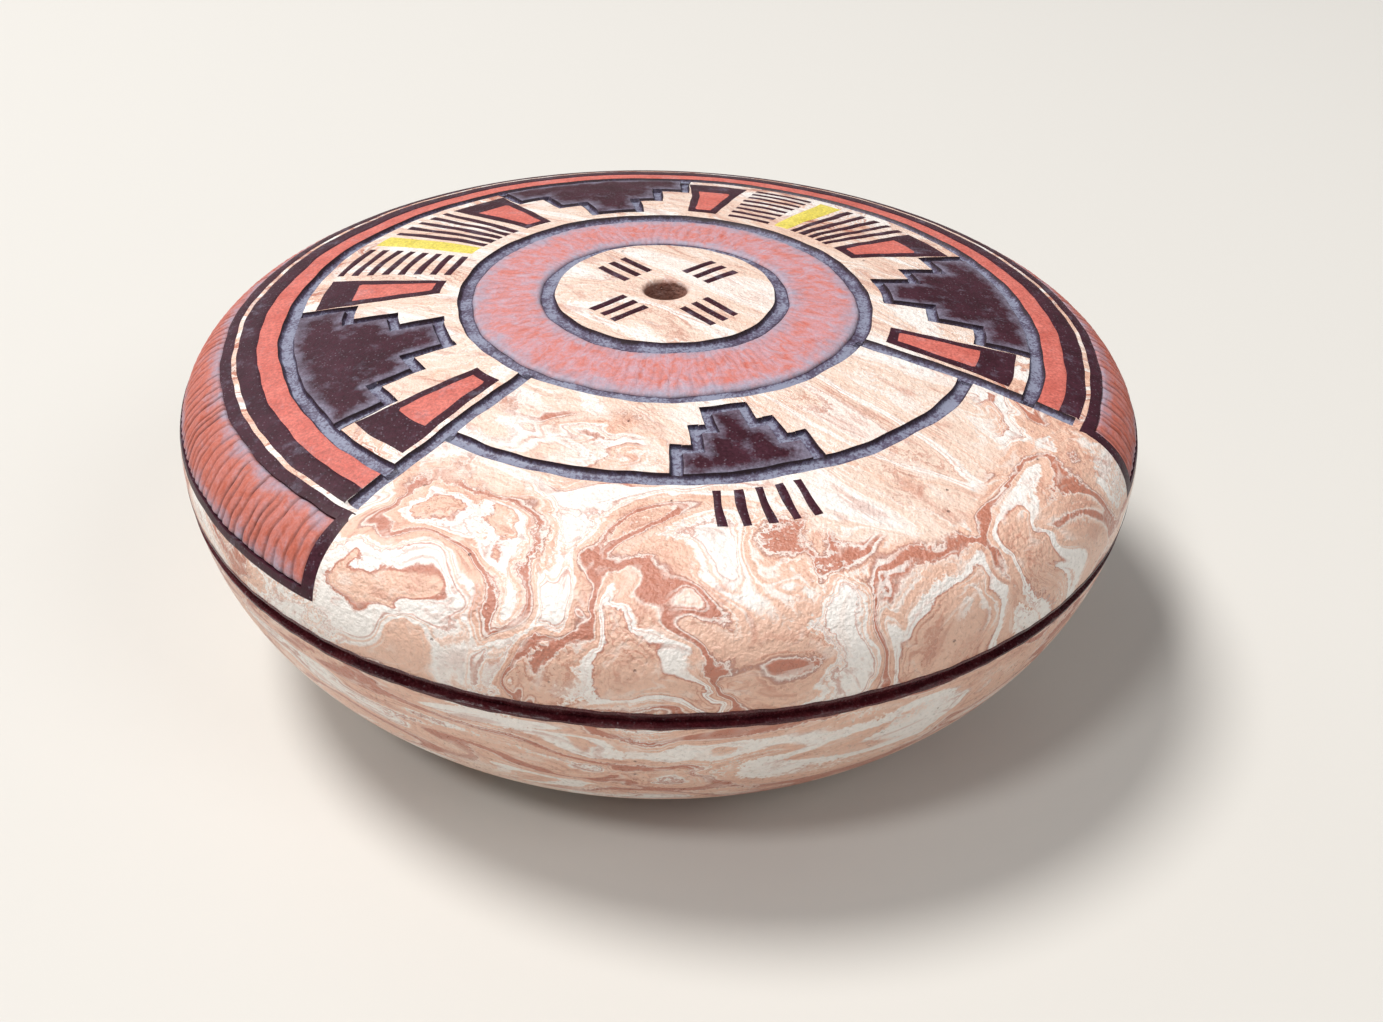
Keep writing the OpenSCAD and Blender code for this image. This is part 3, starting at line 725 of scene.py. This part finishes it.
# Coat on the crown's chosen points; nearEdge falls from 1 at its edge to 0 at the dusty distance inside it
def coatPiece(node, chosen, material, lift, values=None, dusty=0.0):
    quads = crownQuads[chosen.reshape(-1)[crownQuads].all(axis=1)]
    points, faces, used = coatMesh(flatPoints, flatNormals, quads, lift, coat["under"])
    extra = {key: np.tile(data[used], 2) for key, data in (values or {}).items()}
    if dusty:
        walls = faces[2 * len(quads):]
        rim = flatPoints[used[np.unique(walls[:, :2])]]
        away = np.concatenate([np.linalg.norm(part[:, None] - rim[None], axis=-1).min(axis=1)
                               for part in np.array_split(flatPoints[used], 12)])
        extra["nearEdge"] = np.tile(np.clip(1 - away / dusty, 0, 1), 2)
    meshPiece(pieceName(node), points, faces, material, node, values=extra)


for node, depth in depthUnits.items():
    near = depth > 1e-9
    closed = near | np.roll(near, 1, axis=1) | np.roll(near, -1, axis=1)  # with the line's own edges
    closed[1:] |= near[:-1]
    closed[:-1] |= near[1:]
    coatPiece(node, closed, lineSlip, coat["line"], {"floor": depth.reshape(-1)})
for kind, node in (("terrace", "dark_terraces"), ("cloud", "front_cloud")):
    coatPiece(node, steppedMask(kind, gridR, gridA), darkSlip, coat["field"], dusty=coat["dust"])


def brushCoat(s, angles, lift, depth=0.0):  # coat drawn with the brush, standing a hair proud
    return coatOnPot(s, np.radians(angles), depth, lift, coat["under"])[:2]


def brushPiece(name, coats, material, node):  # several coats joined in one piece
    points, faces = zip(*coats)
    firsts = np.cumsum([0] + [len(part) for part in points[:-1]])
    joined = np.concatenate([part + first for part, first in zip(faces, firsts)])
    meshPiece(name, np.concatenate(points), joined, material, node)


def unitGrid(rows, cols, left=0.0, right=1.0):  # v runs 0 to 1 down the rows, u from left to right
    return np.meshgrid(np.linspace(0, 1, rows), np.linspace(left, right, cols), indexing="ij")


def polarField(inner, outer, fromA, toA, rows=10, cols=24):  # field between two radii and two angles
    v, u = unitGrid(rows, cols)
    return alongAtRadius(inner + (outer - inner) * v), fromA + (toA - fromA) * u


def stripeField(inner, outer):  # stripe along the whole frieze, clear of its end lines
    margin = math.degrees(halfLine / inner)
    return polarField(inner, outer, layout["friezeStart"] + margin, layout["friezeEnd"] - margin, cols=320)


def strokeField(inner, outer, angle, rows=16):  # straight brush stroke of one width towards the rim
    v, u = unitGrid(rows, 5, -0.5, 0.5)
    r = inner + (outer - inner) * v
    swell = 1 + 0.12 * np.sin(5 * v + angle)
    return alongAtRadius(r), angle + np.degrees(brush * swell * u / r)


def wedgeField(angle, inner, outer, inset):  # feather wedge, widening straight towards the rim
    v, u = unitGrid(18, 10, -1, 1)
    r = inner + (outer - inner) * v
    wide = panelOut * math.tan(math.radians(featherHalf))
    half = wide * (0.45 + 0.55 * ((r - panelIn) / (panelOut - panelIn))) - inset
    return alongAtRadius(r), angle + np.degrees(half * u / r)


def centreField(side, offset):  # short stroke beside the hole, straight and parallel to its neighbours
    v, u = unitGrid(12, 5, -0.5, 0.5)
    x = pot["holeRadius"] + 2.5 * brush + centre["length"] * v
    y = offset + brush * u
    return alongAtRadius(np.hypot(x, y)), side + np.degrees(np.arctan2(y, x))


# A panel has an ochre bar, with arcs on one side of it and strokes on the other; angles in degrees
bar = dict(half=2.2, gap=2.0, arcs=8, strokes=5)
rain = dict(step=3.2, start=layout["frontRing"] + halfLine + layout["brushLine"], end=38.5)
centre = dict(length=4.5, sides=(45, 135, 225, 315))
brush, panelIn, panelOut = layout["brushLine"], layout["panelIn"], layout["panelOut"]
hatchFrom, hatchTo = bar["half"] + bar["gap"], panelHalf
panels = [panelA, panelA + pairA]
feathers = [terraceA + i * pairA + side * featherStep for i in range(terraces) for side in (-1, 1)]
arcRadii = np.linspace(panelIn, panelOut - brush, bar["arcs"])
strokeTurns = np.linspace(hatchFrom, hatchTo, bar["strokes"])
brushed = [
    ("feather_edges", darkSlip, "dark_slip", coat["feather"],
     [wedgeField(a, panelIn, panelOut, 0.0) for a in feathers]),
    ("red_feathers", redSlip, "red_slip", coat["overFeather"],
     [wedgeField(a, panelIn + brush, layout["featherTip"], brush) for a in feathers]),
    ("yellow_bars", yellowSlip, "yellow_slip", coat["brush"],
     [polarField(panelIn, panelOut, a - bar["half"], a + bar["half"], 20, 8) for a in panels]),
    ("hatch_arcs", darkSlip, "dark_slip", coat["brush"],
     [polarField(r, r + brush, a + hatchFrom, a + hatchTo, 5) for a in panels for r in arcRadii]),
    ("hatch_bars", darkSlip, "dark_slip", coat["brush"],
     [strokeField(panelIn, panelOut, a - d, 22) for a in panels for d in strokeTurns]),
    ("rain_strokes", darkSlip, "dark_slip", coat["brush"],
     [strokeField(rain["start"], rain["end"], frontA + n * rain["step"]) for n in range(-2, 3)]),
    ("centre_strokes", darkSlip, "dark_slip", coat["brush"],
     [centreField(side, 2 * n * brush) for side in centre["sides"] for n in (-1, 0, 1)]),
    ("red_stripe", redSlip, "red_slip", coat["brush"],
     [stripeField(layout["friezeRing"] + halfLine, layout["stripeMid"])]),
    ("dark_stripe", darkSlip, "dark_slip", coat["brush"],
     [stripeField(layout["stripeMid"], layout["stripeEnd"])]),
]
for node, material, slotName, lift, fields in brushed:
    brushPiece(pieceName(node), [brushCoat(*field, lift) for field in fields], material, node)


# Chattered band: ridges across it, height = ridge * root of |sin| of the way along, with the blade's uneven
# pace and lean; the second array is painted shade for its hollows, weaker than the ribs', in the ratio of
# their heights
def chatterHeight(u, v):
    loose = 1 - rose["evenness"]
    pace = (0.55 * np.sin(0.37 * u + 1.0) + 0.4 * np.sin(0.83 * u + 0.9 * v)
            + 0.3 * np.sin(1.7 * u - 0.6 * v + 2.0))
    ridge = np.abs(np.sin(math.pi * u / rose["pitch"] + pace * loose * 2 + 0.25 * v)) ** 0.45
    waves = 0.5 + 0.6 * np.sin(0.21 * u + 0.8 * v) + 0.5 * np.sin(0.47 * u - 1.1 * v + 1.3)
    strong = rose["evenness"] + loose * np.clip(waves, 0, 1)
    return rose["height"] * (ridge - 1) * strong, (1 - ridge) * strong * rose["height"] / ribs["height"]


# Notched ribs: V cuts at uneven gaps along the band, each with its own depth and its own reach up from the
# lower edge; between two cuts the clay swells as the root of a sine, and low lumps run over it; the second
# array is painted shade in each cut, darkest at its middle
def notchHeight(u, v):
    draw = np.random.default_rng(ribs["seed"])
    count = int(u.max() / ribs["narrow"]) + 8
    at = np.cumsum(draw.uniform(ribs["narrow"], ribs["wide"], count)) - 2 * ribs["wide"]
    deep = draw.uniform(*ribs["deep"], count)
    start = draw.uniform(*ribs["start"], count)
    place = u + 0.14 * np.sin(0.8 * v + 0.29 * u) + 0.06 * np.sin(2.1 * v - 0.7 * u + 1.0)
    near = np.clip(np.searchsorted((at[1:] + at[:-1]) / 2, place), 1, count - 2)
    half = np.where(place > at[near], at[near + 1] - at[near], at[near] - at[near - 1]) / 2
    off = np.abs(place - at[near])
    ridge = np.sin(math.pi / 2 * np.clip(off / half, 0, 1)) ** 0.45
    strong = deep[near] * np.clip((v - start[near]) / ribs["grow"], 0.2, 1.0)
    lumps = ribs["lumps"] * np.sin(2.7 * v + 1.9 * place) * np.sin(1.3 * v - 2.3 * place + 0.7) * ridge
    return ribs["height"] * (ridge - 1) * strong + lumps, np.clip(1 - off / ribs["hollowShade"], 0, 1) * strong


# Rose band on the cut-back floor: the relief's height over it and the painted shade of its hollows, with UV
# in millimetres along and across
def bandPiece(node, s, a, proud, relief, material, wrap):
    uv = np.stack([profileAt(s)[0].mean() * (a - a.min()), s - s.min()], -1)
    height, hollowShade = relief(uv[..., 0], uv[..., 1])
    lift = (proud + height).reshape(-1)
    points, faces, used = coatOnPot(s, a, layout["bandDepth"], lift, 0.0, wrap)
    meshPiece(pieceName(node), points, faces, material, node,
              uv=np.tile(uv.reshape(-1, 2)[used], (2, 1)),
              values={"hollowShade": np.tile(hollowShade.reshape(-1)[used], 2)}, sharpAngle=60.0)


roseIn, roseOut = alongAtRadius(bandIn - rose["tuck"]), alongAtRadius(bandOut + rose["tuck"])
v, u = np.broadcast_arrays(np.linspace(0, 1, rose["rows"])[:, None], roundTurns(rose["cols"]))
bandPiece("rose_band", roseIn + v * (roseOut - roseIn), u, rose["proud"], chatterHeight, roseRing, True)
v, u = unitGrid(ribs["rows"], ribs["cols"])
ribTurn = np.radians(layout["friezeStart"] + u * (layout["friezeEnd"] - layout["friezeStart"]))
ribS = ribTop + v * (ribBottom - ribTop)
bandPiece("ribbed_band", ribS, ribTurn, ribs["proud"], notchHeight, roseRibs, False)

# Dark slip round the ribbed band: four strips of arc length by angle; each starts down the cut edge,
# turns over it and runs out on the clay, so its profile is a list of distances from the edge (millimetres
# inside it, shares of the strip's width outside) with their depths
edging = dict(top=1.2, bottom=0.8, ends=1.3, radius=47.0, cols=420, rows=20)
turnedOut = np.array([-0.07, -0.03, 0.1, 0.35, 0.7, 1.0])
turnedDown = np.array([layout["bandDepth"] - 0.06, 0, 0, 0, 0, 0])
endOut = np.array([-0.17, -0.115, 0.1, 0.35, 0.7, 1.0])


def stripAway(out, width):  # distances from the edge; width is signed, away from the band
    return np.where(out < 0, out * np.sign(width), out * width)


def edgeStrip(s, a, depth, lift, order):  # order turns a strip on the near side, so that it faces out
    s, a, depth = [part[order] for part in np.broadcast_arrays(s, a, depth)]
    return brushCoat(s, a, lift, depth)


def longEdge(edge, width):
    a = np.linspace(*friezeEnds, edging["cols"])[None]
    away = stripAway(turnedOut, width)[:, None]
    return edgeStrip(edge + away, a, turnedDown[:, None], coat["longEdge"], np.s_[::int(np.sign(width))])


def shortEdge(edge, width):  # runs past both long edges, so the corners are closed
    away = stripAway(endOut, width) / edging["radius"]
    rows = np.concatenate([
        [ribTop - edging["top"], ribTop - ribs["wall"]], np.linspace(ribTop, ribBottom, edging["rows"]),
        [ribBottom + ribs["wall"], ribBottom + edging["bottom"]]])
    cut = (rows > ribTop - ribs["wall"] / 2) & (rows < ribBottom + ribs["wall"] / 2)
    depth = cut[:, None] * turnedDown[None]
    a = (edge + np.degrees(away))[None]
    return edgeStrip(rows[:, None], a, depth, coat["shortEdge"], np.s_[:, ::int(np.sign(width))])


brushPiece("ribbedEdging", [longEdge(ribTop, -edging["top"]), longEdge(ribBottom, edging["bottom"]),
                            shortEdge(layout["friezeStart"], -edging["ends"]),
                            shortEdge(layout["friezeEnd"], edging["ends"])], darkSlip, None)

# Slip in the girdle line: samples across it in half widths, its height over the lips, how far its edges and
# back sink into the clay, and how much of the channel it fills
girdleCoat = dict(across=[0.5, 0.8, 0.9, 0.98, 1.1, 1.3, 1.5, 1.55], proud=0.045, sink=0.06, under=0.05,
                  fill=0.25, round=720)


# Dark slip in the girdle line: a ring whose section fills the channel's floor and climbs over both lips;
# sines round the pot make its edges ragged and its floor uneven
def girdleRing():
    cols = girdleCoat["round"]
    turn = roundTurns(cols)
    side = np.array(girdleCoat["across"])
    t = np.concatenate([-side[::-1], [0.0], side])[:, None]
    ragged = 0.16 * np.sin(23 * turn) + 0.12 * np.sin(61 * turn + 1) + 0.1 * np.sin(131 * turn + 2)
    wide = 1 + np.where(np.abs(t) > 1.05, ragged * np.sign(t) * 0.35, 0)
    s = alongAtHeight(girdleZ) + girdle["width"] / 2 * t * wide
    uneven = 0.05 * np.sin(37 * turn) + 0.04 * np.sin(97 * turn + 1) + 0.03 * np.sin(211 * turn)
    inside = np.clip((1.02 - np.abs(t)) / 0.22, 0, 1)
    edge = np.where(np.abs(t) > 1.52, girdleCoat["sink"], 0)
    front = girdleCoat["proud"] - edge - inside * (girdle["depth"] - girdleCoat["fill"] + uneven)
    back = np.where(np.abs(t) > 0.95, -girdleCoat["sink"], -girdle["depth"] - girdleCoat["under"]) + 0 * turn
    points = np.concatenate([onPot(s, turn, front), onPot(s[::-1], turn, back[::-1])])
    faces = gridFaces(2 * len(t), cols, wrapRows=True)
    meshPiece("girdleLine", points, faces, girdleSlip, "girdle_line")


girdleRing()
print("pieces made")

# Floor, lights and camera; the lamps stand well back so that the floor is lit evenly
studio = dict(floor="#CFCCC6", floorSize=12.0, sky="#F1F3F6", skyStrength=0.26, aim=(0, 0, 0.02))
lamps = dict(
    key=dict(place=(-0.62, 0.17, 1.45), size=0.5, power=23.0, colour="#FFFDFB"),
    fill=dict(place=(-0.8, -0.84, 1.6), size=0.34, power=11.0, colour="#FFFFFF"),
    side=dict(place=(1.25, -0.8, 1.4), size=0.9, power=7.0, colour="#FFFFFF"),
    rim=dict(place=(-1.12, 1.5, 1.05), size=1.1, power=3.4, colour="#F4F6FF"),
)
floorMesh = bpy.data.meshes.new("floor")
half = studio["floorSize"] / 2
corners = [(-half, -half, 0), (half, -half, 0), (half, half, 0), (-half, half, 0)]
floorMesh.from_pydata(corners, [], [(0, 1, 2, 3)])
floor = bpy.data.objects.new("floor", floorMesh)
bpy.context.scene.collection.objects.link(floor)
# Pale matt paper: even and without shine
floorPaper = bpy.data.materials.new("pale matt paper")
floorPaper.use_nodes = True
paper = floorPaper.node_tree.nodes["Principled BSDF"]
paper.inputs["Base Color"].default_value = hexColour(studio["floor"])
paper.inputs["Roughness"].default_value = 0.9
floorMesh.materials.append(floorPaper)


def placeObject(name, data, right, up, back, place):  # object whose axes and place are given
    item = bpy.data.objects.new(name, data)
    bpy.context.scene.collection.objects.link(item)
    turned = np.eye(4)
    turned[:3, :] = np.stack([right, up, back, place], 1)
    item.matrix_world = Matrix(turned.tolist())
    return item


def areaLight(name, place, size, power, colour):  # round lamp turned towards the pot
    lamp = bpy.data.lights.new(name, "AREA")
    lamp.shape = "DISK"
    lamp.size = size
    lamp.energy = power
    lamp.color = hexColour(colour)[:3]
    direction = np.subtract(studio["aim"], place)
    back = -direction / np.linalg.norm(direction)
    right = np.cross((0.0, 1.0, 0.02), back)
    right /= np.linalg.norm(right)
    placeObject(name, lamp, right, np.cross(back, right), back, place)


for name, lamp in lamps.items():
    areaLight(name, **lamp)
world = bpy.data.worlds.new("studio")
bpy.context.scene.world = world
world.use_nodes = True
sky = world.node_tree.nodes["Background"]
sky.inputs["Color"].default_value = hexColour(studio["sky"])
sky.inputs["Strength"].default_value = studio["skyStrength"]

# Camera of the photograph: focal length in pixels, distance in millimetres, height angle, tilt, the pixel
# where the pot's middle falls, and the near limit of the view in metres
view = dict(focal=1500.0, distance=162.7, elevation=34.2, roll=2.31, middle=(663.2, 389.1),
            image=(1383, 1022), sensor=36.0, nearest=0.005)


# The camera looks along the height angle, rolls by the tilt, and steps back and aside from the pot's middle
def photoCamera():
    e, tilt = math.radians(view["elevation"]), math.radians(view["roll"])
    forward = np.array([0, math.cos(e), -math.sin(e)])
    level = np.array([1.0, 0, 0])
    rise = np.array([0, math.sin(e), math.cos(e)])
    right = math.cos(tilt) * level + math.sin(tilt) * rise
    up = -math.sin(tilt) * level + math.cos(tilt) * rise
    sideways, downward = [(at - size / 2) / view["focal"] * view["distance"]
                          for at, size in zip(view["middle"], view["image"])]
    place = np.array([0, 0, eqZ]) - (sideways * right - downward * up + view["distance"] * forward)
    lens = bpy.data.cameras.new("camera")
    lens.sensor_width = view["sensor"]
    lens.lens = view["focal"] / view["image"][0] * lens.sensor_width
    lens.clip_start = view["nearest"]
    bpy.context.scene.camera = placeObject("camera", lens, right, up, -forward, place * mm)


photoCamera()
bpy.context.scene.view_settings.view_transform = "Standard"
print("scene made")
